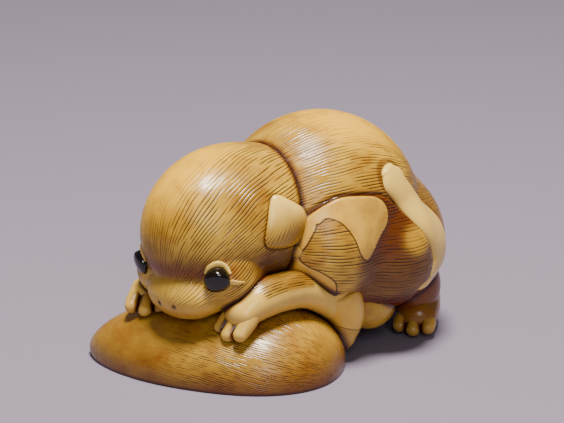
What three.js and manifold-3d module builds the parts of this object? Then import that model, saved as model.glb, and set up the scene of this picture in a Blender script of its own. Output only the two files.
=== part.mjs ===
// A carved ivory netsuke: a puppy crouching over an abalone shell, chin and forepaws on its back.
// One carving and two horn eyes. Millimetres, +Z up, the puppy looks along -Y, its left is +X.
// It stands on the shell's flat underside and on its two hind feet.
import * as THREE from "three";
import { mergeVertices } from "three/addons/utils/BufferGeometryUtils.js";
import Module from "manifold-3d";

const wasm = await Module();
wasm.setup();

// ---- driving dimensions ---------------------------------------------------------------------

const ORIGIN = [2.143, 7.806]; // middle of the netsuke's plan, measured from under the head

// Lumps of a rounded form: places are [left, back, up] from the form's centre, and blend is how
// softly a lump runs into the others. Yaw turns the form's back towards the puppy's left.
const HEAD = {
  centre: [-0.1, -0.1, 16.5],
  yaw: 7,
  lumps: [
    { at: [0, 0, 0], size: [8.2, 11.4, 9.35], blend: 0 },
    { at: [1.8, 2.6, 0.3], size: [7.5, 10.6, 8.6], blend: 1.2 },
    { at: [0.8, -7.7, -6.3], size: [5.0, 3.5, 3.0], blend: 1.5 },
    { at: [4.7, -4.4, -4.7], size: [3.8, 4.4, 3.7], blend: 1.2 },
    { at: [-4.0, -4.7, -4.9], size: [3.9, 4.4, 3.8], blend: 1.2 },
  ],
};
const BODY = {
  centre: [4.6, 12.3, 15.0],
  yaw: 25,
  lumps: [
    { at: [0, 0, 0], size: [11.3, 12.8, 12.8], blend: 0 },
    { at: [6.4, -2.6, -1.6], size: [5.8, 6.0, 6.6], blend: 1.2 },
    { at: [6.3, 5.2, -3.2], size: [5.9, 6.2, 7.2], blend: 1.2 },
    { at: [-6.4, -2.6, -1.6], size: [5.8, 6.0, 6.6], blend: 1.2 },
    { at: [-6.3, 5.2, -3.2], size: [5.9, 6.2, 7.2], blend: 1.2 },
    { at: [0, 8.5, -3.7], size: [9.6, 7.6, 8.8], blend: 1.2 },
  ],
};
const SHELL = {
  centre: [0.0, -2.4],
  yaw: 20, // turns the shell's length from +X towards +Y
  halfLength: 15.3,
  halfWidth: 11.6,
  height: 8.6,
  rim: 0.9, // height of the widest line
  taper: 0.45, // how sharply the plan narrows to the tip
  fall: 0.3, // how sharply the back comes down to the tip
  fullness: 2.3,
};
const EYE = {
  left: 37, // azimuth off the middle of the face, in degrees
  right: -30,
  up: -3.8,
  radius: 1.5,
  proud: 0.7,
  depth: 1.7,
  gap: 0.12, // left all round for the glue
};

// The ears lie back on the head: direction [left, back, up] of the middle, reach along the head
// and up it, thickness, and how much of a triangle the outline is.
const EAR = { towards: [8.8, 0.7, 1.8], reach: [3.8, 3.4], thick: 0.8, corner: 0.12 };

// Limbs: stations [x, y, z, half width, half height] along each one.
const LIMBS = {
  leftForeleg: [
    [11.2, 7.0, 6.4, 2.4, 2.5],
    [10.6, 4.6, 8.4, 2.3, 2.3],
    [9.7, 1.8, 9.7, 2.1, 2.2],
    [8.8, -1.2, 10.1, 2.1, 2.3],
    [7.7, -4.2, 9.8, 2.3, 2.3],
    [6.5, -6.3, 8.6, 2.4, 1.9],
  ],
  leftUpperArm: [
    [8.6, 3.4, 14.4, 3.0, 3.0],
    [10.2, 4.8, 11.4, 2.8, 2.9],
    [11.4, 6.2, 8.4, 2.6, 2.8],
    [11.6, 7.0, 5.6, 2.5, 2.7],
    [11.2, 6.6, 3.4, 2.1, 2.4],
  ],
  rightForeleg: [
    [-7.2, 8.2, 6.2, 2.6, 2.6],
    [-8.8, 4.6, 8.2, 2.2, 2.2],
    [-9.2, 0.8, 8.9, 2.0, 2.0],
    [-8.3, -2.6, 8.8, 1.9, 1.8],
    [-7.1, -5.4, 8.2, 2.1, 1.6],
  ],
  rightUpperArm: [
    [-4.2, 10.0, 14.0, 3.0, 3.0],
    [-5.8, 9.9, 10.6, 2.8, 2.9],
    [-7.0, 9.0, 7.2, 2.8, 2.9],
    [-7.5, 8.6, 3.0, 2.4, 2.4],
  ],
  leftHindFoot: [
    [12.6, 23.2, 3.0, 2.4, 2.4],
    [13.5, 21.4, 2.7, 2.5, 2.4],
    [14.3, 19.6, 2.3, 2.4, 2.0],
  ],
  rightHindFoot: [
    [3.2, 25.2, 3.0, 2.4, 2.4],
    [2.0, 23.8, 2.7, 2.5, 2.4],
    [1.0, 22.4, 2.3, 2.4, 2.0],
  ],
};
const ROUND_END = Math.PI / 4; // share of a limb's sphere that makes each round end
const STEEP = 0.9; // a limb running this close to upright turns its width to the left instead

// The tail lies on the body: stations [left, back, up, half width, half height] from its centre,
// from the rump round the left haunch up on to the back.
const TAIL = [
  [10.2, 7.2, -7.4, 1.5, 0.8],
  [9.0, 9.6, -6.6, 2.0, 0.8],
  [8.6, 11.1, -4.6, 2.4, 0.8],
  [8.9, 10.7, -1.4, 2.4, 0.8],
  [9.3, 8.4, 1.9, 2.3, 0.8],
  [9.1, 5.7, 5.0, 2.1, 0.8],
  [8.5, 4.5, 6.9, 2.0, 0.8],
];

// Toes: a fan of small limbs, each running from a knuckle to a tip. The knuckles stand closer
// together than the tips, and the outer toes are shorter by the lag.
const TOE = {
  across: [-1.5, 0, 1.5],
  knuckles: 0.8,
  halfWidth: 1.0,
  halfHeight: 0.9,
  lag: 0.35,
};
const PAWS = [
  { knuckle: [6.6, -6.0, 8.4], tip: [6.0, -8.2, 6.4] },
  { knuckle: [-6.8, -6.1, 7.8], tip: [-6.1, -7.7, 6.9] },
  { knuckle: [14.4, 19.0, 1.9], tip: [14.9, 17.7, 1.2] },
  { knuckle: [0.7, 21.9, 1.9], tip: [-0.1, 20.7, 1.2] },
];
const MASSES = [
  { centre: [12.0, 12.4, 5.8], size: [3.1, 3.6, 3.4] }, // left knee
  { centre: [-0.6, 17.8, 5.8], size: [3.2, 4.2, 3.5] }, // right knee
  { centre: [13.0, 21.0, 5.4], size: [3.0, 3.6, 4.2] }, // left hock
  { centre: [3.4, 23.6, 5.4], size: [3.0, 3.4, 4.2] }, // right hock
  { centre: [1.4, 5.6, 8.6], size: [8.4, 7.0, 6.0] }, // chest
];
// Cord holes in the shell's underside, joined inside by a curved tunnel.
const CORD = {
  near: [-3.0, -4.0],
  far: [4.6, -1.2],
  nearRadius: 1.3,
  farRadius: 1.8,
  deep: 4.4, // top of the tunnel above the underside
  below: 1.5, // how far it starts under the underside
  bend: 0.7, // 1 is one half wave, less is flatter on top
};
const CORD_STATIONS = [0, 0.2, 0.5, 0.8, 1];
const SLIVER = 0.02; // slivers thinner than this where forms meet are merged away
const GROUND = { width: 80, depth: 20 }; // the block that trims everything at Z 0

// Facets [around, along] of each form.
const FACETS = {
  head: [30, 20],
  body: [32, 22],
  shell: [32, 16],
  ear: [14, 6],
  tail: [8, 16],
  limb: [10, 12],
  toe: [8, 8],
  mass: [12, 8],
  eye: [14, 8],
  tunnel: [10, 14],
};

const UP = new THREE.Vector3(0, 1, 0);

// ---- forms ----------------------------------------------------------------------------------

function axesOf(yaw) {
  const a = THREE.MathUtils.degToRad(yaw);
  return {
    left: new THREE.Vector3(Math.cos(a), -Math.sin(a), 0),
    back: new THREE.Vector3(Math.sin(a), Math.cos(a), 0),
    up: new THREE.Vector3(0, 0, 1),
  };
}

function place(centre, axes, [left, back, up]) {
  return new THREE.Vector3(...centre)
    .addScaledVector(axes.left, left)
    .addScaledVector(axes.back, back)
    .addScaledVector(axes.up, up);
}

// A sphere whose poles lie along `pole`; `shape` gives each direction its place.
function ball(facets, pole, shape) {
  const geometry = new THREE.SphereGeometry(1, ...facets);
  geometry.applyQuaternion(new THREE.Quaternion().setFromUnitVectors(UP, pole));
  const position = geometry.attributes.position;
  const direction = new THREE.Vector3();
  for (let i = 0; i < position.count; i += 1) {
    direction.fromBufferAttribute(position, i).normalize();
    const point = shape(direction);
    position.setXYZ(i, point.x, point.y, point.z);
  }
  return solid(geometry);
}

function ellipsoid(facets, centre, size) {
  const pole = new THREE.Vector3(0, 0, 1);
  const at = new THREE.Vector3(...centre);
  const scale = new THREE.Vector3(...size);
  return ball(facets, pole, (d) => d.clone().multiply(scale).add(at));
}

// How far a ray from the form's centre runs before it leaves a lump, or 0 if it misses.
function exitDistance([x, y, z], { at, size }) {
  const d = [x / size[0], y / size[1], z / size[2]];
  const c = [at[0] / size[0], at[1] / size[1], at[2] / size[2]];
  const dd = d[0] * d[0] + d[1] * d[1] + d[2] * d[2];
  const dc = d[0] * c[0] + d[1] * c[1] + d[2] * c[2];
  const cc = c[0] * c[0] + c[1] * c[1] + c[2] * c[2] - 1;
  const root = dc * dc - dd * cc;
  return root > 0 ? (dc + Math.sqrt(root)) / dd : 0;
}

function smoothMax(a, b, blend) {
  if (blend <= 0) return Math.max(a, b);
  const h = Math.max(blend - Math.abs(a - b), 0) / blend;
  return Math.max(a, b) + (h * h * blend) / 4;
}

function reachOf(form, local) {
  return form.lumps.reduce((far, lump) => {
    return smoothMax(far, exitDistance(local, lump), lump.blend);
  }, 0);
}

// A rounded form made of lumps, with its poles at front and back.
function lumpy(form, facets) {
  const axes = axesOf(form.yaw);
  return ball(facets, axes.back, (d) => {
    const local = [d.dot(axes.left), d.dot(axes.back), d.z];
    const reach = reachOf(form, local);
    return place(form.centre, axes, local.map((part) => part * reach));
  });
}

// The point on a form's skin in a direction given by its azimuth off the front and its height.
function onSkin(form, azimuth, up) {
  const a = THREE.MathUtils.degToRad(azimuth);
  let tilt = 0;
  let local = [0, 0, 0];
  for (let i = 0; i < 12; i += 1) {
    const d = [Math.sin(a) * Math.cos(tilt), -Math.cos(a) * Math.cos(tilt), Math.sin(tilt)];
    const reach = reachOf(form, d);
    local = d.map((part) => part * reach);
    tilt = Math.asin(THREE.MathUtils.clamp(up / reach, -1, 1));
  }
  const axes = axesOf(form.yaw);
  const point = place(form.centre, axes, local);
  const outward = place([0, 0, 0], axes, local).normalize();
  return { point, outward };
}

// A bar along its stations with round ends. Its height lies along `riseAt(point)`, as near as
// it can.
function limb(stations, facets, riseAt = () => axesOf(0).up) {
  const path = new THREE.CatmullRomCurve3(
    stations.map(([x, y, z]) => new THREE.Vector3(x, y, z)), false, "catmullrom", 0.5);
  const sizes = new THREE.CatmullRomCurve3(
    stations.map(([, , , w, h]) => new THREE.Vector3(w, h, 0)), false, "catmullrom", 0.5);
  const pole = new THREE.Vector3(0, 0, 1);
  return ball(facets, pole, (d) => {
    const angle = Math.acos(THREE.MathUtils.clamp(d.z, -1, 1));
    const run = (Math.PI - ROUND_END - angle) / (Math.PI - 2 * ROUND_END);
    const u = THREE.MathUtils.clamp(run, 0, 1);
    const ending = Math.min(angle, Math.PI - angle, ROUND_END) / ROUND_END * (Math.PI / 2);
    const full = Math.sin(ending);
    const beyond = Math.cos(ending) * Math.sign(d.z);
    const point = path.getPoint(u);
    const tangent = path.getTangent(u);
    const { x: halfWidth, y: halfHeight } = sizes.getPoint(u);
    const hint = riseAt(point);
    const upright = Math.abs(tangent.dot(hint)) > STEEP ? axesOf(0).left : hint;
    const side = new THREE.Vector3().crossVectors(upright, tangent).normalize();
    const rise = new THREE.Vector3().crossVectors(tangent, side);
    const ring = Math.hypot(d.x, d.y) || 1;
    return point
      .addScaledVector(side, (halfWidth * full * d.x) / ring)
      .addScaledVector(rise, (halfHeight * full * d.y) / ring)
      .addScaledVector(tangent, beyond * halfHeight);
  });
}

// ---- solids ---------------------------------------------------------------------------------

function solid(geometry) {
  const bare = geometry.toNonIndexed();
  bare.deleteAttribute("normal");
  bare.deleteAttribute("uv");
  const merged = mergeVertices(bare, 1e-4);
  const position = merged.attributes.position.array;
  const kept = [];
  const index = merged.index.array;
  for (let i = 0; i < index.length; i += 3) {
    const [a, b, c] = [index[i], index[i + 1], index[i + 2]];
    if (a !== b && b !== c && c !== a) kept.push(a, b, c);
  }
  return new wasm.Manifold(new wasm.Mesh({
    numProp: 3,
    vertProperties: new Float32Array(position),
    triVerts: new Uint32Array(kept),
  }));
}

function named(name, body, material) {
  const { vertProperties, triVerts } = body.getMesh();
  const geometry = new THREE.BufferGeometry();
  geometry.setAttribute("position", new THREE.BufferAttribute(vertProperties, 3));
  geometry.setIndex(new THREE.BufferAttribute(triVerts, 1));
  geometry.computeVertexNormals();
  const mesh = new THREE.Mesh(geometry, material);
  mesh.name = name;
  mesh.position.set(-ORIGIN[0], -ORIGIN[1], 0);
  return mesh;
}

function shell() {
  const a = THREE.MathUtils.degToRad(SHELL.yaw);
  const along = new THREE.Vector3(Math.cos(a), Math.sin(a), 0);
  const across = new THREE.Vector3(Math.sin(a), -Math.cos(a), 0);
  const p = SHELL.fullness;
  return ball(FACETS.shell, along, (d) => {
    const side = d.dot(across);
    const length = d.dot(along);
    const full = (Math.abs(length) ** p + Math.hypot(side, d.z) ** p) ** (-1 / p);
    const spread = Math.max((1 + length * full) / 2, 0);
    const narrow = spread ** (SHELL.taper / 2);
    const low = spread ** (SHELL.fall / 2);
    const z = SHELL.rim + d.z * full * low * (SHELL.height - SHELL.rim);
    return new THREE.Vector3(...SHELL.centre, z)
      .addScaledVector(along, length * full * SHELL.halfLength)
      .addScaledVector(across, side * full * SHELL.halfWidth * narrow);
  });
}

function skinPoint(form, local, lift) {
  const size = Math.hypot(...local);
  const direction = local.map((part) => part / size);
  const reach = reachOf(form, direction) + lift;
  return place(form.centre, axesOf(form.yaw), direction.map((part) => part * reach));
}

// A rounded triangle lying on the head, its point up; sign is 1 on the left and -1 on the right.
function ear(sign) {
  const [left, back, up] = EAR.towards;
  const middle = new THREE.Vector3(sign * left, back, up);
  const outward = middle.clone().normalize();
  const lift = new THREE.Vector3(0, 0, 1).addScaledVector(outward, -outward.z).normalize();
  const along = new THREE.Vector3().crossVectors(lift, outward);
  return ball(FACETS.ear, outward, (d) => {
    const x = d.dot(along);
    const z = d.dot(lift);
    const turn = Math.atan2(z, x) - Math.PI / 2;
    const reach = 1 + EAR.corner * Math.cos(3 * turn);
    const spot = middle.clone()
      .addScaledVector(along, x * reach * EAR.reach[0])
      .addScaledVector(lift, z * reach * EAR.reach[1]);
    return skinPoint(HEAD, spot.toArray(), d.dot(outward) * EAR.thick);
  });
}

function tail() {
  const centre = new THREE.Vector3(...BODY.centre);
  const stations = TAIL.map(([left, back, up, halfWidth, halfHeight]) => {
    const point = skinPoint(BODY, [left, back, up], 0);
    return [point.x, point.y, point.z, halfWidth, halfHeight];
  });
  return limb(stations, FACETS.tail, (point) => point.clone().sub(centre).normalize());
}

function toes({ knuckle, tip }) {
  const from = new THREE.Vector3(...knuckle);
  const to = new THREE.Vector3(...tip);
  const along = to.clone().sub(from).normalize();
  const across = new THREE.Vector3().crossVectors(along, axesOf(0).up).normalize();
  return TOE.across.map((shift) => {
    const start = from.clone().addScaledVector(across, shift * TOE.knuckles);
    const end = to.clone().addScaledVector(across, shift);
    end.addScaledVector(along, -Math.abs(shift) * TOE.lag);
    const stations = [start, start.clone().lerp(end, 0.5), end].map((p) => {
      return [p.x, p.y, p.z, TOE.halfWidth, TOE.halfHeight];
    });
    return limb(stations, FACETS.toe);
  });
}

// A peg with a domed front: the horn eye, or with a gap the socket drilled for it.
function eyePeg(azimuth, gap) {
  const { point, outward } = onSkin(HEAD, azimuth, EYE.up);
  return ball(FACETS.eye, outward, (d) => {
    const depth = d.dot(outward);
    const rim = d.clone().addScaledVector(outward, -depth);
    const behind = depth < 0;
    const along = behind ? (EYE.depth + gap) * depth : (EYE.proud + gap) * depth;
    const fill = behind ? Math.sqrt(1 - depth ** 6) / (rim.length() || 1) : 1;
    return point.clone()
      .addScaledVector(outward, along)
      .addScaledVector(rim, (EYE.radius + gap) * fill);
  });
}

function cordTunnel() {
  const { near, far, nearRadius, farRadius, deep, below, bend } = CORD;
  const stations = CORD_STATIONS.map((t) => {
    const x = THREE.MathUtils.lerp(near[0], far[0], t);
    const y = THREE.MathUtils.lerp(near[1], far[1], t);
    const radius = THREE.MathUtils.lerp(nearRadius, farRadius, t);
    const z = -below + (deep + below - radius) * Math.sin(Math.PI * t) ** bend;
    return [x, y, z, radius, radius];
  });
  return limb(stations, FACETS.tunnel);
}

function belowGround() {
  const box = new THREE.BoxGeometry(GROUND.width, GROUND.width, GROUND.depth);
  box.translate(0, 0, -GROUND.depth / 2);
  return solid(box);
}

function carving() {
  const forms = [
    lumpy(HEAD, FACETS.head),
    lumpy(BODY, FACETS.body),
    shell(),
    ear(1),
    ear(-1),
    tail(),
    ...Object.values(LIMBS).map((stations) => limb(stations, FACETS.limb)),
    ...PAWS.flatMap(toes),
    ...MASSES.map(({ centre, size }) => ellipsoid(FACETS.mass, centre, size)),
  ];
  const joined = forms.reduce((whole, form) => whole.add(form));
  const cuts = [
    eyePeg(EYE.left, EYE.gap),
    eyePeg(EYE.right, EYE.gap),
    cordTunnel(),
    belowGround(),
  ];
  return cuts.reduce((whole, cut) => whole.subtract(cut), joined).simplify(SLIVER);
}

// ---- the netsuke ----------------------------------------------------------------------------

const ivory = new THREE.MeshStandardMaterial({ color: "#cf9a4a", roughness: 0.42, metalness: 0 });
const leftHorn = new THREE.MeshStandardMaterial({ color: "#0d0b0c", roughness: 0.1, metalness: 0 });
const rightHorn = leftHorn.clone();

const netsuke = new THREE.Group();
netsuke.add(
  named("carving", carving(), ivory),
  named("left_eye", eyePeg(EYE.left, 0), leftHorn),
  named("right_eye", eyePeg(EYE.right, 0), rightHorn),
);

export default netsuke;
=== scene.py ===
import math

import bmesh
import bpy
import numpy as np
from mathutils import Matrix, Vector


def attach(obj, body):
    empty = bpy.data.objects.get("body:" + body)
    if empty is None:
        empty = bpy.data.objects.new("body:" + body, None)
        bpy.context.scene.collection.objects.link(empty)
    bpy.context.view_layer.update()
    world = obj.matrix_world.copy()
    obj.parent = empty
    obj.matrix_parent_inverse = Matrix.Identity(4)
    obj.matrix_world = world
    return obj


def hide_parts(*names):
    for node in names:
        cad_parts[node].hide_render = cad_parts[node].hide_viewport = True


# A carved ivory netsuke: a puppy crouching over an abalone shell, chin and forepaws on its back.
# Sizes below are millimetres in the carver's own layout, whose middle is under the puppy's head;
# `to_frame` moves them into the frame, in metres. +Z is up, the puppy looks along -Y.

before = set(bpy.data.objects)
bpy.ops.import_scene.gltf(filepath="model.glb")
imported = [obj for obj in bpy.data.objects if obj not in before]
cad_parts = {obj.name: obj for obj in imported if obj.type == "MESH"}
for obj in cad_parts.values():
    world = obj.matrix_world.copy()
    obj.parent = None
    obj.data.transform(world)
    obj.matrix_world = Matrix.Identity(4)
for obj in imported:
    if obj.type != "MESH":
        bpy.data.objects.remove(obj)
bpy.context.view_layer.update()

MM = 0.001
ORIGIN = np.array([2.143, 7.806, 0.0])  # middle of the plan
UP = np.array([0.0, 0.0, 1.0])
SEED = 7

# ---- sizes ----------------------------------------------------------------------------------

# Lumps of a rounded form: (place, half sizes, blend), places [left, back, up] from its centre.
HEAD = {
    "centre": (-0.1, -0.1, 16.5),
    "yaw": 7,
    "lumps": [
        ((0, 0, 0), (8.2, 11.4, 9.35), 0),
        ((1.8, 2.6, 0.3), (7.5, 10.6, 8.6), 1.2),
        ((0.8, -7.7, -6.3), (5.0, 3.5, 3.0), 1.5),
        ((4.7, -4.4, -4.7), (3.8, 4.4, 3.7), 1.2),
        ((-4.0, -4.7, -4.9), (3.9, 4.4, 3.8), 1.2),
    ],
}
BODY = {
    "centre": (4.6, 12.3, 15.0),
    "yaw": 25,
    "lumps": [
        ((0, 0, 0), (11.3, 12.8, 12.8), 0),
        ((6.4, -2.6, -1.6), (5.8, 6.0, 6.6), 1.2),
        ((6.3, 5.2, -3.2), (5.9, 6.2, 7.2), 1.2),
        ((-6.4, -2.6, -1.6), (5.8, 6.0, 6.6), 1.2),
        ((-6.3, 5.2, -3.2), (5.9, 6.2, 7.2), 1.2),
        ((0, 8.5, -3.7), (9.6, 7.6, 8.8), 1.2),
    ],
}
# The shell: a dome, widest at `rim`, that narrows by `taper` and sinks by `fall` towards the
# puppy's right. The strokes on it slant by `twist` and are cut towards `core` over its centre.
SHELL = {
    "centre": (0.0, -2.4), "yaw": 20, "half_length": 15.3, "half_width": 11.6,
    "height": 8.6, "rim": 0.9, "taper": 0.45, "fall": 0.3, "fullness": 2.3,
    "twist": 0.45, "core": 3.0,
}
# An eye: a peg whose domed front stands `proud`, and whose side, `depth` long, is the straighter
# the higher `barrel` is. Its azimuth is from the nose and `up` from the head's centre.
EYE = {"radius": 1.5, "azimuth": {"left": 37, "right": -30}, "up": -3.8, "proud": 0.7,
       "depth": 1.7, "barrel": 6, "settling_steps": 12}
# Rims round an eye: (outward from the nose, up, half width, half height) from its middle.
LID = {
    "eyelid": [(-1.5, 0.7, 0.15, 0.1), (-1.0, 1.45, 0.36, 0.2), (0.0, 1.8, 0.46, 0.24),
               (0.95, 1.45, 0.36, 0.2), (1.55, 0.8, 0.2, 0.14)],
    "eye_corner": [(1.6, 0.0, 0.4, 0.14), (2.3, -0.2, 0.32, 0.14), (3.2, -0.4, 0.1, 0.08)],
}
# An ear lies on the head at `towards`; its outline, (back, up) from there, is a rounded triangle
# with its point up and forward.
EAR = {
    "towards": (8.8, 0.8, 2.0), "thick": 0.8,
    "outline": [(-1.2, 3.3), (0.9, 2.0), (2.9, 0.2), (3.7, -1.5), (2.6, -2.8), (-0.4, -3.3),
                (-3.6, -2.5), (-2.9, 0.6)],
}

# Limbs, from the end nearer the body: stations (x, y, z, half width, half height).
LIMBS = {
    "left_foreleg": [
        (11.2, 7.0, 6.4, 2.4, 2.5), (10.6, 4.6, 8.4, 2.3, 2.3), (9.7, 1.8, 9.7, 2.1, 2.2),
        (8.8, -1.2, 10.1, 2.1, 2.3), (7.7, -4.2, 9.8, 2.3, 2.3), (6.5, -6.3, 8.6, 2.4, 1.9)],
    "left_upper_arm": [
        (8.6, 3.4, 14.4, 3.0, 3.0), (10.2, 4.8, 11.4, 2.8, 2.9), (11.4, 6.2, 8.4, 2.6, 2.8),
        (11.6, 7.0, 5.6, 2.5, 2.7), (11.2, 6.6, 3.4, 2.1, 2.4)],
    "right_foreleg": [
        (-7.2, 8.2, 6.2, 2.6, 2.6), (-8.8, 4.6, 8.2, 2.2, 2.2), (-9.2, 0.8, 8.9, 2.0, 2.0),
        (-8.3, -2.6, 8.8, 1.9, 1.8), (-7.1, -5.4, 8.2, 2.1, 1.6)],
    "right_upper_arm": [
        (-4.2, 10.0, 14.0, 3.0, 3.0), (-5.8, 9.9, 10.6, 2.8, 2.9), (-7.0, 9.0, 7.2, 2.8, 2.9),
        (-7.5, 8.6, 3.0, 2.4, 2.4)],
    "left_hind_foot": [
        (12.6, 23.2, 3.0, 2.4, 2.4), (13.5, 21.4, 2.7, 2.5, 2.4), (14.3, 19.6, 2.3, 2.4, 2.0)],
    "right_hind_foot": [
        (3.2, 25.2, 3.0, 2.4, 2.4), (2.0, 23.8, 2.7, 2.5, 2.4), (1.0, 22.4, 2.3, 2.4, 2.0)],
}
# Stations of the tail's middle on the body, from its low end: (left, back, up, half width).
TAIL = [
    (10.3, 6.9, -6.3, 0.7), (9.4, 9.2, -5.9, 1.5), (8.7, 10.7, -4.2, 2.2), (8.9, 10.4, -1.4, 2.6),
    (9.3, 8.2, 1.7, 2.5), (9.1, 5.9, 4.5, 2.0), (8.7, 4.8, 6.0, 2.2), (8.4, 4.2, 7.0, 1.3)]
TAIL_THICK = 0.6
# Toes: how far off the paw's middle their tips lie, with the knuckles at `knuckles` of that. The
# middle one ends `beyond` the tip of its paw and the outer ones by `lag` of their place less.
TOE = {"across": (-1.7, 0, 1.7), "knuckles": 0.85, "half_width": 1.06, "half_height": 1.0,
       "lag": 0.3, "beyond": 0.1, "root": 1.8, "taper": 0.82}
# Paws: the middle of the knuckles, and of the tips of the toes.
PAWS = {
    "left_forepaw": ((6.6, -6.0, 8.4), (6.0, -8.2, 6.4)),
    "right_forepaw": ((-6.8, -6.1, 7.8), (-6.1, -7.7, 6.9)),
    "left_hindpaw": ((14.4, 19.0, 1.9), (14.9, 17.7, 1.2)),
    "right_hindpaw": ((0.7, 21.9, 1.9), (-0.1, 20.7, 1.2)),
}
# Round masses: centre, half sizes, and how much umber and rust they take.
MASSES = {
    "left_knee": ((12.0, 12.4, 5.8), (3.1, 3.6, 3.4), 0.2, 0.0),
    "right_knee": ((-0.6, 17.8, 5.8), (3.2, 4.2, 3.5), 0.2, 0.0),
    "left_hock": ((13.0, 21.0, 5.4), (3.0, 3.6, 4.2), 0.7, 0.6),
    "right_hock": ((3.4, 23.6, 5.4), (3.0, 3.4, 4.2), 0.7, 0.6),
    "chest": ((1.4, 5.6, 8.6), (8.4, 7.0, 6.0), 0.2, 0.0),
}

# The graver: a line to every PITCH_COLUMNS columns of faces, its cut CUT_COLUMNS to either side.
PITCH_COLUMNS = 5
CUT_COLUMNS = 0.62
STROKE = {"coat": (4.0, 11.0), "leg": (1.5, 4.0), "shell": (0.4, 1.2)}  # shortest and longest
PER_RADIAN = {"head": 10.0, "body": 12.5, "shell": 13.0}  # length along a line on each form
LIMB_LENGTH = 14.0
# How deep or how proud the low relief is.
RELIEF = {"hair": 0.085, "shell": 0.11, "nostril": 0.35, "ear_rim": 0.15, "fold": 0.3,
          "leg_mass": 0.45, "haunch": 0.25, "patch": 0.06}
PATCH_FADE = 1.2  # the `patch` mark goes from 0 to 1 over this, half of it inside the patch
CAP = math.pi / 4  # the angle at each pole of a bar's ball that becomes its round end
# What each point of the ivory is marked with, for its finish to read. The umber and rust marks are
# brown and red stain and also carry painted shade low down and between the toes; `crease` is
# painted shade, with stain, where forms meet.
MARKS = ("stain", "cream", "patch", "worn", "umber", "rust", "crease")

# Widths of the patterns in the finishes: how far the ivory's tone drifts, the blotches of stain,
# the grain that takes it unevenly, and the streaks in horn.
TONE_DRIFT = 6.25
BLOTCH = 2.38
UPTAKE = 1.11
HORN_STREAK = 0.667

# The camera: where it stands round the netsuke, how far off, and the point it looks at.
VIEW = {"azimuth": 35.0, "elevation": 20.0, "distance": 350.0, "aim": (2.08, 8.60, 16.06),
        "mm_across": 66.7}
LIGHTS_AIM = (0, 0, 0.012)  # in the frame, in metres

# ---- geometry helpers -----------------------------------------------------------------------


def unit(v):
    v = np.asarray(v, float)
    return v / np.maximum(np.linalg.norm(v, axis=-1, keepdims=True), 1e-12)


def axes_of(yaw):
    a = math.radians(yaw)
    return np.array([[math.cos(a), -math.sin(a), 0], [math.sin(a), math.cos(a), 0], [0, 0, 1]])


def smoothstep(low, high, x):
    t = np.clip((x - low) / (high - low), 0, 1)
    return t * t * (3 - 2 * t)


def bell(x, width):
    return np.exp(-(x / width) ** 2)


def to_frame(points):
    return (np.asarray(points) - ORIGIN) * MM


def exit_distance(d, at, size):
    d = d / size
    c = np.asarray(at, float) / size
    dd = (d * d).sum(1)
    dc = d @ c
    root = dc * dc - dd * (c @ c - 1)
    return np.where(root > 0, (dc + np.sqrt(np.maximum(root, 0))) / dd, 0)


def smooth_max(a, b, blend):
    if blend <= 0:
        return np.maximum(a, b)
    h = np.maximum(blend - np.abs(a - b), 0) / blend
    return np.maximum(a, b) + h * h * blend / 4


def reach_of(form, d):
    far = np.zeros(len(d))
    for at, size, blend in form["lumps"]:
        far = smooth_max(far, exit_distance(d, at, np.array(size)), blend)
    return far


def local_of(form, points):
    return (points - np.array(form["centre"])) @ axes_of(form["yaw"]).T


def world_of(form, local):
    return local @ axes_of(form["yaw"]) + np.array(form["centre"])


def skin_gap(form, points):
    """How far points stand off a rounded form's skin, less than 0 inside it."""
    local = local_of(form, points)
    size = np.linalg.norm(local, axis=1)
    return size - reach_of(form, local / size[:, None])


def shell_gap(points):
    a = math.radians(SHELL["yaw"])
    flat = points[:, :2] - np.array(SHELL["centre"])
    along = (flat @ [math.cos(a), math.sin(a)]) / SHELL["half_length"]
    across = flat @ [math.sin(a), -math.cos(a)]
    spread = np.maximum((1 + np.clip(along, -1, 1)) / 2, 1e-4)
    across = across / (SHELL["half_width"] * spread ** (SHELL["taper"] / 2))
    z = (points[:, 2] - SHELL["rim"]) / (SHELL["height"] - SHELL["rim"])
    z = z / spread ** (SHELL["fall"] / 2)
    p = SHELL["fullness"]
    size = (np.abs(along) ** p + np.hypot(across, z) ** p) ** (1 / p)
    return (size - 1) * SHELL["height"]


def between(a, b, c, d, f):
    """The point the share `f` of the way from b to c on a Catmull-Rom curve through a to d."""
    return 0.5 * (2 * b + (c - a) * f + (2 * a - 5 * b + 4 * c - d) * f ** 2
                  + (3 * b - a - 3 * c + d) * f ** 3)


def spline(stations, u):
    """A smooth curve through the stations, at each u from 0 to 1."""
    p = np.asarray(stations, float)
    p = np.vstack([2 * p[0] - p[1], p, 2 * p[-1] - p[-2]])
    t = np.clip(u, 0, 1) * (len(p) - 3)
    i = np.minimum(t.astype(int), len(p) - 4)
    f = (t - i)[:, None]
    return between(p[i], p[i + 1], p[i + 2], p[i + 3], f)


def limb_gap(stations, points):
    """How far points stand off a limb."""
    line = spline(stations, np.linspace(0, 1, 40))
    gap = np.full(len(points), 1e3)
    for x in line:
        gap = np.minimum(gap, np.linalg.norm(points - x[:3], axis=1) - 0.5 * (x[3] + x[4]))
    return gap


# ---- meshes ---------------------------------------------------------------------------------


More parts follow.
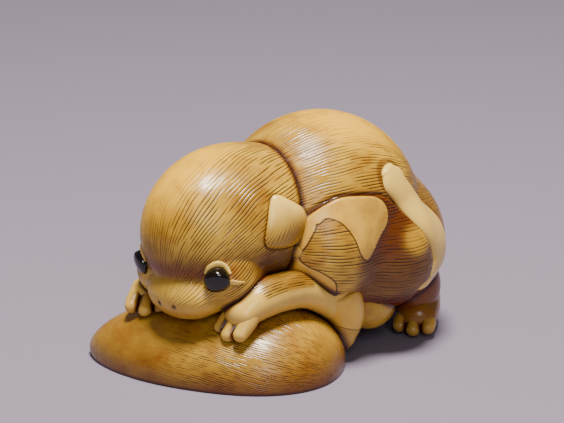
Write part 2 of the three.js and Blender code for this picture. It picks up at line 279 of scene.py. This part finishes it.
def ball(name, columns, rows):
    """A closed ball of quads, rolled up from a grid whose seam and ends are then merged.

    Returns its mesh with each vertex's turn about and angle from +Z.
    """
    bm = bmesh.new()
    bmesh.ops.create_grid(bm, x_segments=columns, y_segments=rows, size=1.0)
    for vertex in bm.verts:
        turn, angle = math.pi * vertex.co.x, math.pi * (vertex.co.y + 1) / 2
        vertex.co = (math.sin(angle) * math.cos(turn), math.sin(angle) * math.sin(turn),
                     math.cos(angle))
    bmesh.ops.remove_doubles(bm, verts=bm.verts, dist=1e-5)
    mesh = bpy.data.meshes.new(name)
    bm.to_mesh(mesh)
    bm.free()
    co = np.zeros(len(mesh.vertices) * 3)
    mesh.vertices.foreach_get("co", co)
    co = co.reshape(-1, 3)
    turn = np.arctan2(co[:, 1], co[:, 0])
    angle = np.arccos(np.clip(co[:, 2], -1, 1))
    return mesh, turn, angle


def piece(mesh, points, marks, material, replaces="carving"):
    mesh.vertices.foreach_set("co", to_frame(points).astype(np.float32).ravel())
    bm = bmesh.new()
    bm.from_mesh(mesh)
    bmesh.ops.recalc_face_normals(bm, faces=bm.faces)
    bm.to_mesh(mesh)
    bm.free()
    for name, values in marks.items():
        layer = mesh.attributes.new(name, "FLOAT", "POINT")
        layer.data.foreach_set("value", np.asarray(values, np.float32))
    mesh.polygons.foreach_set("use_smooth", np.ones(len(mesh.polygons), bool))
    mesh.update()
    mesh.materials.append(material)
    thing = bpy.data.objects.new(mesh.name, mesh)
    bpy.context.scene.collection.objects.link(thing)
    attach(thing, "root")
    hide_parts(replaces)
    return thing


def strokes(columns, turn, length, rng, stroke_mm, ring, least=0.45):
    """Engraved lines along a ball's meridians, PITCH_COLUMNS columns of faces to a line.

    Returns how deep the graver went at each vertex, from 0 to 1. Every line is broken into
    strokes, each cut with a force of its own from `least` up, and none below 0. Towards the
    poles, as the ring of vertices grows small, every second line ends, then every second one
    of the rest, then all.
    """
    column = np.rint(turn / (2 * math.pi) * columns).astype(int) % columns
    line = column // PITCH_COLUMNS
    count = columns // PITCH_COLUMNS
    reach = rng.uniform(stroke_mm[0], stroke_mm[1], count)
    start = rng.uniform(0, 1, count)
    along = length / reach[line] + start[line]
    number = np.floor(along).astype(int)
    part = along - number
    number -= number.min()
    force = np.clip(rng.uniform(least, 1.3, (count, number.max() + 1)), 0, 1)
    press = smoothstep(0, 0.2, part) * (1 - smoothstep(0.7, 1.0, part))
    across = bell(column % PITCH_COLUMNS - PITCH_COLUMNS // 2, CUT_COLUMNS)
    keep = np.where(line % 2 == 1, smoothstep(0.42, 0.6, ring), 1.0)
    keep = np.where(line % 4 == 2, smoothstep(0.2, 0.32, ring), keep)
    keep *= smoothstep(0.06, 0.16, ring)
    return across * press * force[line, number] * keep


def closed_curve(points, per_span=8):
    p = np.asarray(points, float)
    out = []
    for i in range(len(p)):
        for f in np.arange(per_span) / per_span:
            out.append(between(p[i - 1], p[i], p[(i + 1) % len(p)], p[(i + 2) % len(p)], f))
    return np.array(out)


def inside_by(outline, x, y):
    """Distance inside a closed outline, below 0 outside it."""
    nearest = np.full(len(x), 1e9)
    odd = np.zeros(len(x), bool)
    for (ax, ay), (bx, by) in zip(outline, np.roll(outline, -1, axis=0)):
        ex, ey = bx - ax, by - ay
        f = np.clip(((x - ax) * ex + (y - ay) * ey) / (ex * ex + ey * ey + 1e-12), 0, 1)
        nearest = np.minimum(nearest, np.hypot(x - ax - f * ex, y - ay - f * ey))
        crosses = (ay > y) != (by > y)
        safe = np.where(np.abs(by - ay) < 1e-9, 1e-9, by - ay)
        odd ^= crosses & (x < (bx - ax) * (y - ay) / safe + ax)
    return np.where(odd, nearest, -nearest)


# ---- what the carver marked where -----------------------------------------------------------

# Smooth patches of coat on the puppy's side, as outlines of (back, up) seen from that side.
LEG_MASS = [(-8.6, 1.0), (-6.9, 3.6), (-4.3, 5.1), (-2.4, 5.5), (0.8, 5.2), (3.0, 4.6), (6.3, 1.4),
            (8.8, -2.5), (8.9, -6.2), (5.4, -7.6), (0.0, -9.5), (-6.0, -9.0), (-9.5, -4.0)]
SHOULDER_PATCH = [(-7.4, 3.1), (-6.0, 4.1), (-4.3, 5.0), (-2.4, 5.4), (0.8, 5.0), (2.4, 3.8),
                  (2.5, 1.9), (1.0, 0.0), (0.1, -1.2), (-0.8, -1.9), (-1.7, -1.1), (-2.5, 1.0),
                  (-3.6, 2.6), (-5.0, 3.2), (-6.1, 2.6)]
NECK_STRIP = [(-8.4, 3.4), (-7.0, 3.6), (-6.2, 2.6), (-7.0, 1.0), (-8.0, -1.0), (-7.4, -2.0),
              (-6.0, -2.8), (-4.7, -3.9), (-4.2, -5.2), (-3.6, -7.0), (-5.4, -8.0), (-8.6, -5.4),
              (-10.5, -4.0), (-10.5, 2.0)]
HAUNCH = (6.0, -0.9)  # middle of the round of the haunch, (back, up)
FAR_OUTSIDE = -9.0  # given for a point that no patch is near
NOSTRILS = [(1.9, -7.1), (-0.3, -7.1)]  # (left, up) on the head


def creases(points, others):
    """How dark the painted shade, with the stain that gathers there, lies where forms meet, from
    how near the other forms' skins are: a narrow line with a faint, wider edge."""
    dark = np.zeros(len(points))
    for gap in others:
        off = np.maximum(gap(points), 0)
        dark = np.maximum(dark, 0.9 * bell(off, 0.4) + 0.1 * bell(off, 1.2))
    return dark


def limb_others(*names):
    return [lambda p, s=LIMBS[n]: limb_gap(s, p) for n in names]


def head_gap(points):
    return skin_gap(HEAD, points)


def body_gap(points):
    return skin_gap(BODY, points)


def polar(turn, angle, tilt, shift):
    """Directions [left, back, up] of a ball whose front pole is tilted down and whose middle is
    shifted, with turn 0 on top."""
    tilt = math.radians(tilt)
    back = -np.cos(angle)
    top = np.sin(angle) * np.cos(turn)
    left = np.sin(angle) * np.sin(turn)
    d = np.stack([left, back * math.cos(tilt) - top * math.sin(tilt),
                  back * math.sin(tilt) + top * math.cos(tilt) + shift], 1)
    return unit(d)


def waver(turn, angle, size):
    """Slow sideways drift of the hair lines."""
    return size * (0.5 * np.sin(5 * angle + 3 * turn) + 0.25 * np.sin(9 * angle - 7 * turn + 1.3)
                   + 0.12 * np.sin(17 * angle + 11 * turn))


def marks_of(count, **marks):
    """Every mark the finish reads, none where not given. `patch` is how far inside a smooth
    patch a point lies, half at its outline."""
    out = {name: np.zeros(count) for name in MARKS}
    for name, values in marks.items():
        out[name] = out[name] + values
    return out


def skin_axes(outward):
    """The directions along and up a form's skin, square to `outward` and to each other."""
    lift = unit(UP - outward * outward[2])
    return np.cross(lift, outward), lift


def ear_middle(sign):
    """The middle of an ear, from the head's centre."""
    return np.array([sign * EAR["towards"][0], *EAR["towards"][1:]])


def ear_reach(turn, sign):
    """How far an ear's outline lies from its middle, at each turn from its along axis."""
    back, up = closed_curve(EAR["outline"]).T
    return np.interp(turn, np.arctan2(up, sign * back), np.hypot(back, up), period=2 * math.pi)


def ear_rim(local, sign):
    """1 on the line where an ear meets the head, falling to 0 about 0.6 mm off it."""
    middle = ear_middle(sign)
    outward = unit(middle)
    along, lift = skin_axes(outward)
    level = local / np.maximum(local @ outward, 1e-3)[:, None] * np.linalg.norm(middle)
    x, z = (level - middle) @ along, (level - middle) @ lift
    reach = ear_reach(np.arctan2(z, x), sign)
    return bell(np.hypot(x, z) / reach - 1.0, 0.09) * (local @ outward > 0)


def head(material):
    columns, rows = 800, 120
    rng = np.random.default_rng(SEED)
    mesh, turn, angle = ball("head", columns, rows)
    length = angle * PER_RADIAN["head"]
    graver = strokes(columns, turn, length, rng, STROKE["coat"], np.sin(angle))
    drift = turn + waver(turn, angle, math.pi * PITCH_COLUMNS / columns)
    d = polar(drift, angle, tilt=25, shift=-0.25)
    reach = reach_of(HEAD, d)
    local = d * reach[:, None]
    left, back, up = local.T
    side = np.abs(left)
    # the muzzle has lines only above the lip, and they fade where the crown is worn
    muzzle = smoothstep(-3.6, -4.7, up) * smoothstep(-5.0, -7.0, back) * smoothstep(6.4, 5.2, side)
    worn = smoothstep(0.5, 0.95, d @ unit([-0.45, -0.45, 0.75]))
    dashes = smoothstep(-7.0, -6.2, up) * muzzle
    hair = graver * (1 - muzzle) * (1 - 0.75 * worn) + graver * dashes
    cuts = np.clip(hair + 0.7 * graver * dashes, 0, 1)
    points = world_of(HEAD, local)
    others = [shell_gap, body_gap] + limb_others("left_foreleg", "right_foreleg")
    nostrils = np.zeros(len(points))
    for x, z in NOSTRILS:
        nostrils = np.maximum(nostrils, bell(np.hypot(left - x, up - z), 0.26) * (back < -9))
    rim = np.maximum(ear_rim(local, 1), ear_rim(local, -1))
    # the nose and brow are stained darker; the lower cheek is painted darker as shade, with some
    # stain
    nose = bell(np.hypot(left - 1.0, (up + 5.7) / 0.8), 0.8) * (back < -8)
    cheek_shade_and_stain = smoothstep(2.0, -3.5, up) * smoothstep(-6.5, -2.0, back)
    brow = bell(up + 2.9, 1.3) * smoothstep(-3, -8, back)
    # the crease mark is painted shade, with stain, where the shell, body and forelegs meet the
    # head and in the groove round each ear
    marks = marks_of(len(points), stain=np.maximum(cuts, nostrils), cream=0.25 * muzzle,
                     worn=np.clip(worn + 0.3 * muzzle, 0, 1),
                     umber=np.clip(0.85 * cheek_shade_and_stain + 0.35 * brow + 0.35 * nose, 0, 1),
                     rust=0.7 * brow * (1 - muzzle) + 0.35 * bell(up + 7.9, 0.6) * muzzle,
                     crease=np.maximum(creases(points, others), 0.75 * rim))
    reach = (reach - RELIEF["hair"] * cuts - RELIEF["nostril"] * nostrils
             - RELIEF["ear_rim"] * rim)
    return piece(mesh, world_of(HEAD, d * reach[:, None]), marks, material)


def body(material):
    columns, rows = 1000, 98
    rng = np.random.default_rng(SEED + 1)
    mesh, turn, angle = ball("body", columns, rows)
    length = angle * PER_RADIAN["body"]
    graver = strokes(columns, turn, length, rng, STROKE["coat"], np.sin(angle))
    drift = turn + waver(turn, angle, math.pi * PITCH_COLUMNS / columns)
    d = polar(drift, angle, tilt=0, shift=0)
    reach = reach_of(BODY, d)
    local = d * reach[:, None]
    left, back, up = local.T
    on_side = smoothstep(3.0, 6.0, np.abs(left))
    mass = inside_by(closed_curve(LEG_MASS), back, up)
    patch = np.full(len(left), FAR_OUTSIDE)
    for outline in (SHOULDER_PATCH, NECK_STRIP):
        patch = np.maximum(patch, inside_by(closed_curve(outline), back, up))
    patch = np.where(np.abs(left) > 4, patch, FAR_OUTSIDE)
    smooth = smoothstep(-0.15, 0.15, patch)
    fold = bell(mass, 0.25) * on_side
    raised = smoothstep(-0.25, 0.35, mass) * on_side
    worn = smoothstep(0.7, 0.98, d @ unit([0.0, 0.3, 1.0]))
    haunch = smoothstep(2.6, 1.0, np.hypot(back - HAUNCH[0], up - HAUNCH[1])) * on_side
    hair = graver * (1 - smooth) * (1 - 0.75 * np.maximum(worn, 0.6 * haunch))
    points = world_of(BODY, local)
    others = [head_gap] + limb_others("left_foreleg", "right_foreleg")
    tail_edge_shade_and_stain = 0.6 * bell(np.maximum(tail_gap(points), 0), 0.35)
    # the flank behind the shoulder takes more stain, a little less low down; the belly is painted
    # darker as shade underneath, and the low rear is darker
    dark = on_side * smoothstep(-0.3, 0.5, mass) * smoothstep(-3.0, -0.4, back)
    dark = dark * (1 - 0.8 * haunch) * (0.7 + 0.3 * smoothstep(-4.0, -1.0, up))
    under = smoothstep(-6.5, -9.5, up)
    rear = smoothstep(3.0, 7.0, back) * smoothstep(6.5, 2.0, up) * smoothstep(0.3, -0.5, mass)
    # the crease mark is painted shade, with stain, where the head and forelegs meet the body, in
    # the fold round the leg and along the tail's edge
    marks = marks_of(len(points), stain=hair,
                     patch=np.clip(0.5 + patch / PATCH_FADE, 0, 1),
                     worn=np.maximum(worn, 0.45 * haunch),
                     umber=np.clip(0.95 * dark + under + 0.5 * rear, 0, 1),
                     rust=np.clip(0.3 * dark + 0.7 * under + 0.25 * rear, 0, 1),
                     crease=np.maximum.reduce([creases(points, others), 0.95 * fold,
                                               tail_edge_shade_and_stain]))
    reach = (reach + RELIEF["leg_mass"] * raised - RELIEF["hair"] * hair
             + RELIEF["patch"] * smooth - RELIEF["fold"] * fold + RELIEF["haunch"] * haunch)
    return piece(mesh, world_of(BODY, d * reach[:, None]), marks, material)


def shell(material):
    columns, rows = 900, 110
    rng = np.random.default_rng(SEED + 2)
    mesh, turn, angle = ball("shell", columns, rows)
    ring = np.sin(angle)
    graver = strokes(columns, turn, angle * PER_RADIAN["shell"], rng, STROKE["shell"], ring,
                     least=-0.25)
    drift = (turn + waver(turn, angle, 2 * math.pi * PITCH_COLUMNS / columns * 1.1)
             + SHELL["twist"] * (math.pi / 2 - angle))
    length = np.cos(angle)
    side = np.sin(angle) * np.sin(drift)
    top = np.sin(angle) * np.cos(drift)
    p = SHELL["fullness"]
    full = (np.abs(length) ** p + np.hypot(side, top) ** p) ** (-1 / p)
    spread = (1 + length * full) / 2
    narrow = spread ** (SHELL["taper"] / 2)
    low = spread ** (SHELL["fall"] / 2)
    a = math.radians(SHELL["yaw"])
    along = np.array([math.cos(a), math.sin(a)])
    across = np.array([math.sin(a), -math.cos(a)])
    flat = (np.outer(length * full * SHELL["half_length"], along)
            + np.outer(side * full * SHELL["half_width"] * narrow, across))
    z = SHELL["rim"] + top * full * low * (SHELL["height"] - SHELL["rim"])
    points = np.column_stack([flat + np.array(SHELL["centre"]), z])
    upper = smoothstep(0.2, 0.9, z)
    rough = 0.2 + 0.8 * smoothstep(-0.4, 0.3, length) * smoothstep(-0.5, 0.3, side)
    dots = 1.3 * graver * upper * rough
    inward = unit(np.array([*SHELL["centre"], SHELL["core"]]) - points)
    points = points + inward * (RELIEF["shell"] * dots)[:, None]
    points[:, 2] = np.maximum(points[:, 2], 0)
    others = [head_gap, body_gap] + limb_others("left_foreleg", "right_foreleg", "left_upper_arm")
    # painted shade, with stain, where the head, body and legs meet the shell; below, a painted
    # shadow along the bottom edge at the floor, and painted shade darkening the low side, redder
    # towards the broad end
    crease = creases(points, others)
    low_side_shade = smoothstep(5.5, 0.5, z)
    marks = marks_of(len(points), stain=0.8 * dots, crease=np.maximum(crease, bell(z, 0.4)),
                     umber=0.25 + 0.35 * low_side_shade,
                     rust=np.clip(0.15 + 0.3 * smoothstep(-0.2, 0.4, length) * low_side_shade
                                  + 0.8 * dots, 0, 1))
    return piece(mesh, points, marks, material)


def swept(name, stations, columns, rows, rise_at=None):
    """A bar along stations, with round ends, its height as near to `rise_at` as it can lie."""
    mesh, turn, angle = ball(name, columns, rows)
    u = np.clip((math.pi - CAP - angle) / (math.pi - 2 * CAP), 0, 1)
    p = spline(stations, u)
    step = 1e-2
    inner = np.clip(u, step, 1 - step)
    tangent = unit(spline(stations, inner + step)[:, :3] - spline(stations, inner - step)[:, :3])
    hint = np.tile(UP, (len(u), 1)) if rise_at is None else rise_at(p[:, :3])
    steep = np.abs((tangent * hint).sum(1)) > 0.9
    hint = np.where(steep[:, None], np.array([1.0, 0, 0]), hint)
    across = unit(np.cross(hint, tangent))
    rise = np.cross(tangent, across)
    ending = np.minimum(np.minimum(angle, math.pi - angle) / CAP, 1) * math.pi / 2
    full = np.sin(ending)
    beyond = np.cos(ending) * np.sign(math.pi / 2 - angle)
    points = (p[:, :3] + across * (p[:, 3] * full * np.cos(turn))[:, None]
              + rise * (p[:, 4] * full * np.sin(turn))[:, None]
              + tangent * (beyond * p[:, 4])[:, None])
    outward = across * np.cos(turn)[:, None] + rise * np.sin(turn)[:, None]
    return mesh, points, outward, turn, u, full


def limb(name, material, rng, haired=(0.0, 0.0), smooth_to=-1.0, cream=0.0, umber=0.0,
         rust=0.0):
    """A leg with hair engraved on top over `haired`, a stretch of its length, and a pale smooth
    patch from its root down to `smooth_to`."""
    columns, rows = (220, 100) if haired[1] > 0 else (100, 64)
    mesh, points, outward, turn, u, _ = swept(name, LIMBS[name], columns, rows)
    graver = strokes(columns, turn, u * LIMB_LENGTH, rng, STROKE["leg"], np.ones(len(u)),
                     least=0.2)
    low, high = haired
    region = smoothstep(low, low + 0.05, u) * smoothstep(high, high - 0.05, u)
    region *= smoothstep(0.1, 0.5, np.sin(turn))
    hair = graver * region
    # painted shade, with stain, where the leg meets the head, the body and the shell
    crease = creases(points, [head_gap, body_gap, shell_gap])
    points = points - outward * (RELIEF["hair"] * hair)[:, None]
    points[:, 2] = np.maximum(points[:, 2], 0)
    inside = (smooth_to - u) * LIMB_LENGTH
    marks = marks_of(len(u), stain=hair, cream=cream * (1 - region), crease=crease,
                     patch=np.clip(0.5 + inside / PATCH_FADE, 0, 1),
                     umber=np.clip(umber + 0.5 * region, 0, 1), rust=rust)
    return piece(mesh, points, marks, material)


def plain(mesh, points, material, gaps=(), **marks):
    points[:, 2] = np.maximum(points[:, 2], 0)
    # painted shade, with stain, where the given forms come near
    crease = creases(points, gaps)
    return piece(mesh, points, marks_of(len(points), crease=crease, **marks), material)


def toes(name, knuckle, tip, material, umber):
    start, end = np.array(knuckle), np.array(tip)
    along = unit(end - start)
    across = unit(np.cross(along, UP))
    size = np.array([TOE["half_width"], TOE["half_height"]])
    fan = []
    for shift in TOE["across"]:
        a = start + across * shift * TOE["knuckles"]
        b = end + across * shift - along * (abs(shift) * TOE["lag"] - TOE["beyond"])
        root = a - along * TOE["root"]
        fan.append([[*root, *(size * TOE["taper"])], [*a, *size], [*((a + b) / 2), *size],
                    [*b, *(size * TOE["taper"])]])
    for i, stations in enumerate(fan):
        mesh, points, *_ = swept(f"{name}_toe_{i + 1}", stations, columns=48, rows=40)
        beside = [lambda p, t=t: limb_gap(t, p) for t in fan if t is not stations]
        # painted shade, with stain, in the slits between the toes: dark red-brown in place of
        # cream
        slit_shade_and_stain = creases(points, beside)
        plain(mesh, points, material, [shell_gap] + beside,
              cream=(0.45 - 0.4 * umber) * (1 - slit_shade_and_stain), umber=umber,
              rust=np.clip(1.3 * slit_shade_and_stain, 0, 1))


def skin_point(form, local, lift):
    """Points on a rounded form's skin in the directions of `local`, raised off it by `lift`."""
    d = unit(local)
    return world_of(form, d * (reach_of(form, d) + lift)[:, None])


def ear(side, sign, material):
    mesh, turn, angle = ball(f"{side}_ear", columns=160, rows=80)
    middle = ear_middle(sign)
    along, lift = skin_axes(unit(middle))
    x = np.sin(angle) * np.cos(turn)
    z = np.sin(angle) * np.sin(turn)
    reach = ear_reach(turn, sign)
    spot = middle + np.outer(x * reach, along) + np.outer(z * reach, lift)
    points = skin_point(HEAD, spot, np.cos(angle) * EAR["thick"])
    # cream above, but for the back edge, and slanting lines of hair below
    top = smoothstep(-0.4, 0.6, z) * smoothstep(1.0, 0.7, 0.7 * (sign * x + z))
    hair = bell((sign * x * 8 - 4 * z) % 1 - 0.5, 0.16) * smoothstep(0.2, -0.4, z) * 0.5
    return plain(mesh, points, material, [body_gap], cream=0.05 + 0.9 * top, stain=hair)


def tail_stations():
    stations = []
    for left, back, up, half_width in TAIL:
        point = skin_point(BODY, np.array([[left, back, up]]), np.zeros(1))[0]
        stations.append([*point, half_width, TAIL_THICK])
    return stations


def tail_gap(points):
    """How far points on the body stand off the tail's edge."""
    gap = np.full(len(points), 1e3)
    for x in spline(tail_stations(), np.linspace(0.05, 0.93, 60)):
        gap = np.minimum(gap, np.linalg.norm(points - x[:3], axis=1) - x[3])
    return gap


def tail(material):
    centre = np.array(BODY["centre"])
    mesh, points, _, turn, u, full = swept("tail", tail_stations(), columns=80, rows=160,
                                           rise_at=lambda p: unit(p - centre))
    points = skin_point(BODY, local_of(BODY, points), TAIL_THICK * full * np.sin(turn))
    return plain(mesh, points, material, cream=0.85, umber=0.35 * smoothstep(0.2, 0.0, u))


def mass(name, centre, size, material, umber, rust):
    mesh, turn, angle = ball(name, columns=96, rows=60)
    d = np.stack([np.sin(angle) * np.cos(turn), np.sin(angle) * np.sin(turn), np.cos(angle)], 1)
    points = np.array(centre) + d * np.array(size)
    return plain(mesh, points, material, [body_gap], umber=umber, rust=rust)


def eye_seat(side):
    """Middle and outward direction of an eye on the head."""
    a = math.radians(EYE["azimuth"][side])
    tilt = 0.0
    for _ in range(EYE["settling_steps"]):
        d = np.array([[math.sin(a) * math.cos(tilt), -math.cos(a) * math.cos(tilt),
                       math.sin(tilt)]])
        reach = float(reach_of(HEAD, d)[0])
        tilt = math.asin(max(-1, min(1, EYE["up"] / reach)))
    point = world_of(HEAD, d * reach)[0]
    return point, unit(point - np.array(HEAD["centre"]))


def eye(side, material):
    mesh, turn, angle = ball(f"{side}_horn_eye", columns=96, rows=64)
    point, outward = eye_seat(side)
    along, lift = skin_axes(outward)
    rim = np.outer(np.cos(turn), along) + np.outer(np.sin(turn), lift)
    depth = np.cos(angle)
    front = depth > 0
    shift = np.where(front, EYE["proud"] * depth, EYE["depth"] * depth)
    full = np.where(front, np.sin(angle), np.sqrt(1 - depth ** EYE["barrel"]))
    points = point + rim * (EYE["radius"] * full)[:, None] + np.outer(shift, outward)
    return piece(mesh, points, {}, material, f"{side}_eye")


def lid(side, sign, material):
    """The pale rim over an eye and the pale wedge at its outer corner."""
    point, outward = eye_seat(side)
    along, lift = skin_axes(outward)
    centre = np.array(HEAD["centre"])
    for part, line in LID.items():
        stations = []
        for x, z, half_width, half_height in line:
            local = local_of(HEAD, (point + sign * x * along + z * lift)[None])
            spot = skin_point(HEAD, local, np.array([0.05]))[0]
            stations.append([*spot, half_width, half_height])
        mesh, points, *_ = swept(f"{side}_{part}", stations, columns=32, rows=60,
                                 rise_at=lambda p: unit(p - centre))
        plain(mesh, points, material, cream=0.8)


# ---- finishes -------------------------------------------------------------------------------


def colour(code):
    """An sRGB hex colour as the linear numbers a shader takes."""
    parts = [int(code[i:i + 2], 16) / 255 for i in (1, 3, 5)]
    return [c / 12.92 if c <= 0.04045 else ((c + 0.055) / 1.055) ** 2.4 for c in parts] + [1.0]


def node(tree, kind, settings=None, **links):
    """Adds one node, with its settings and with links or values for its sockets."""
    made = tree.nodes.new(kind)
    for name, value in (settings or {}).items():
        setattr(made, name, value)
    for name, value in links.items():
        key = int(name[1:]) if name[0] == "i" and name[1:].isdigit() else name.replace("_", " ")
        if isinstance(value, bpy.types.NodeSocket):
            tree.links.new(value, made.inputs[key])
        else:
            made.inputs[key].default_value = value
    return made


def finish(name):
    material = bpy.data.materials.new(name)
    material.use_nodes = True
    material.node_tree.nodes.clear()
    return material, material.node_tree


def noise_scale(mm):
    """The scale of a noise whose features are `mm` wide, to the nearest ten."""
    return round(1 / (mm * MM), -1)


def stained_ivory():
    """Carved elephant ivory, stained, rubbed back and polished: warm, waxy and a little
    translucent, cream where the hand has worn it, dark brown in every cut."""
    material, tree = finish("stained_polished_ivory")
    where = node(tree, "ShaderNodeTexCoord").outputs["Object"]
    mark = {}
    for name in MARKS:
        mark[name] = node(tree, "ShaderNodeAttribute", {"attribute_name": name}).outputs["Fac"]
    tone = node(tree, "ShaderNodeTexNoise", Vector=where, Scale=noise_scale(TONE_DRIFT),
                Detail=3.0).outputs[0]
    uptake = node(tree, "ShaderNodeTexNoise", Vector=where, Scale=noise_scale(UPTAKE),
                  Detail=4.0).outputs[0]
    blotch = node(tree, "ShaderNodeTexNoise", Vector=where, Scale=noise_scale(BLOTCH),
                  Detail=3.0, Distortion=0.6).outputs[0]

    # ranges of a noise or a mark, each spread over a range of its own
    spread = {}
    for name, value, low, high, least, most in (
            ("light tone", tone, 0.35, 0.65, 0.0, 1.0),
            ("blotches", blotch, 0.5, 0.78, 0.0, 0.5),
            ("smooth", mark["patch"], 0.47, 0.53, 0.0, 1.0),
            ("rubbed back", blotch, 0.35, 0.75, 0.85, 0.5),
            ("cut", mark["stain"], 0.06, 0.55, 0.0, 1.0),
            ("stain taken", uptake, 0.2, 0.55, 0.6, 1.0),
            ("deep crease", mark["crease"], 0.15, 1.0, 0.0, 1.0),
            ("roughness", uptake, 0.3, 0.7, 0.19, 0.33)):
        spread[name] = node(tree, "ShaderNodeMapRange", Value=value, From_Min=low, From_Max=high,
                            To_Min=least, To_Max=most).outputs["Result"]
    outline = node(tree, "ShaderNodeMath", {"operation": "COMPARE"}, i0=mark["patch"], i1=0.5,
                   i2=0.07).outputs[0]
    share = {}
    for name, a, b in (("pale patch", spread["smooth"], spread["rubbed back"]),
                       ("patch outline", outline, 0.85),
                       ("cut", spread["cut"], spread["stain taken"]),
                       ("crease edge", mark["crease"], 0.6)):
        share[name] = node(tree, "ShaderNodeMath", {"operation": "MULTIPLY"}, i0=a,
                           i1=b).outputs[0]

    # the layers from the ground up: first the ivory's tones, then the umber and rust stains, which
    # also carry painted shade; last the stain left in the cuts and in the fine line round every
    # smooth patch, and the painted shade, with stain, where forms meet
    base = colour("#a4761e")
    for fac, tint in ((spread["light tone"], "#d6ac3c"),
                      (mark["worn"], "#ecb42a"),
                      (spread["blotches"], "#8a4312"),
                      (mark["umber"], "#56290b"),
                      (mark["rust"], "#6b2408"),
                      (share["pale patch"], "#ecb848"),
                      (mark["cream"], "#f2cb66"),
                      (share["patch outline"], "#3a1a08"),
                      (share["cut"], "#2b1206"),
                      (share["crease edge"], "#86320f"),
                      (spread["deep crease"], "#300d05")):
        base = node(tree, "ShaderNodeMix", {"data_type": "RGBA"}, i0=fac, i6=base,
                    i7=colour(tint)).outputs[2]
    shader = node(tree, "ShaderNodeBsdfPrincipled", Base_Color=base,
                  Roughness=spread["roughness"], IOR=1.54)
    shader.inputs["Specular IOR Level"].default_value = 0.38
    shader.inputs["Subsurface Weight"].default_value = 0.12
    shader.inputs["Subsurface Radius"].default_value = (1.0, 0.5, 0.25)
    shader.inputs["Subsurface Scale"].default_value = 0.0008
    node(tree, "ShaderNodeOutputMaterial", Surface=shader.outputs[0])
    return material


def dark_horn():
    """Polished buffalo horn: near black, wet-looking, with faint brown streaks."""
    material, tree = finish("polished_dark_horn")
    where = node(tree, "ShaderNodeTexCoord").outputs["Object"]
    streak = node(tree, "ShaderNodeTexNoise", Vector=where, Scale=noise_scale(HORN_STREAK),
                  Detail=2.0).outputs[0]
    ramp = node(tree, "ShaderNodeMapRange", Value=streak, From_Min=0.45, From_Max=0.75,
                To_Min=0.0, To_Max=1.0).outputs["Result"]
    base = node(tree, "ShaderNodeMix", {"data_type": "RGBA"}, i0=ramp, i6=colour("#0a0809"),
                i7=colour("#1c100b")).outputs[2]
    shader = node(tree, "ShaderNodeBsdfPrincipled", Base_Color=base, Roughness=0.06, IOR=1.56)
    node(tree, "ShaderNodeOutputMaterial", Surface=shader.outputs[0])
    return material


def backdrop_paper():
    """Matt grey card with a touch of mauve, which looks pale under the lights."""
    material, tree = finish("pale_card")
    shader = node(tree, "ShaderNodeBsdfPrincipled", Base_Color=colour("#837a90"), Roughness=0.85)
    node(tree, "ShaderNodeOutputMaterial", Surface=shader.outputs[0])
    return material


# ---- studio ---------------------------------------------------------------------------------


def camera():
    a, e = math.radians(VIEW["azimuth"]), math.radians(VIEW["elevation"])
    back = np.array([math.sin(a) * math.cos(e), -math.cos(a) * math.cos(e), math.sin(e)])
    data = bpy.data.cameras.new("camera")
    thing = bpy.data.objects.new("camera", data)
    bpy.context.scene.collection.objects.link(thing)
    aim = Vector(to_frame(VIEW["aim"]))
    spot = Vector(to_frame(back * VIEW["distance"]))
    thing.location = spot
    thing.rotation_euler = (aim - spot).to_track_quat("-Z", "Y").to_euler()
    away = (aim - spot).length
    data.sensor_width = 36.0
    data.lens = data.sensor_width * away / (VIEW["mm_across"] * MM)
    data.clip_start = 0.01
    bpy.context.scene.camera = thing


def floor(material):
    bm = bmesh.new()
    bmesh.ops.create_grid(bm, x_segments=1, y_segments=1, size=1.5)
    mesh = bpy.data.meshes.new("floor")
    bm.to_mesh(mesh)
    bm.free()
    mesh.materials.append(material)
    thing = bpy.data.objects.new("floor", mesh)
    bpy.context.scene.collection.objects.link(thing)


def softbox(name, place, size, watts, tint):
    data = bpy.data.lights.new(name, "AREA")
    data.shape = "DISK"
    data.size = size
    data.energy = watts
    data.color = tint
    thing = bpy.data.objects.new(name, data)
    bpy.context.scene.collection.objects.link(thing)
    thing.location = place
    towards = Vector(LIGHTS_AIM) - Vector(place)
    thing.rotation_euler = towards.to_track_quat("-Z", "Y").to_euler()


def studio():
    world = bpy.data.worlds.new("soft_room")
    bpy.context.scene.world = world
    world.use_nodes = True
    background = world.node_tree.nodes["Background"]
    background.inputs["Color"].default_value = (0.84, 0.82, 0.82, 1)
    background.inputs["Strength"].default_value = 0.16
    softbox("key", place=(0.04, -0.04, 0.40), size=0.12, watts=4.0, tint=(1.0, 0.94, 0.81))
    softbox("fill", place=(0.24, -0.26, 0.20), size=0.16, watts=0.4, tint=(1.0, 0.97, 0.94))


# ---- the netsuke ----------------------------------------------------------------------------

camera()
ivory = stained_ivory()
horn = dark_horn()
floor(backdrop_paper())
studio()

leg_hair = np.random.default_rng(SEED + 3)
head(ivory)
body(ivory)
shell(ivory)
ear("left", 1, ivory)
ear("right", -1, ivory)
tail(ivory)
for side in ("left", "right"):
    limb(f"{side}_foreleg", ivory, leg_hair, haired=(0.38, 0.84), cream=0.6)
    limb(f"{side}_upper_arm", ivory, leg_hair, smooth_to=0.86, cream=0.2)
    limb(f"{side}_hind_foot", ivory, leg_hair, umber=0.45, rust=0.45)
for name, (knuckle, tip) in PAWS.items():
    toes(name, knuckle, tip, ivory, umber=0.55 if "hind" in name else 0.0)
for name, (centre, size, umber, rust) in MASSES.items():
    mass(name, centre, size, ivory, umber, rust)
for side, sign in (("left", 1), ("right", -1)):
    eye(side, horn)
    lid(side, sign, ivory)
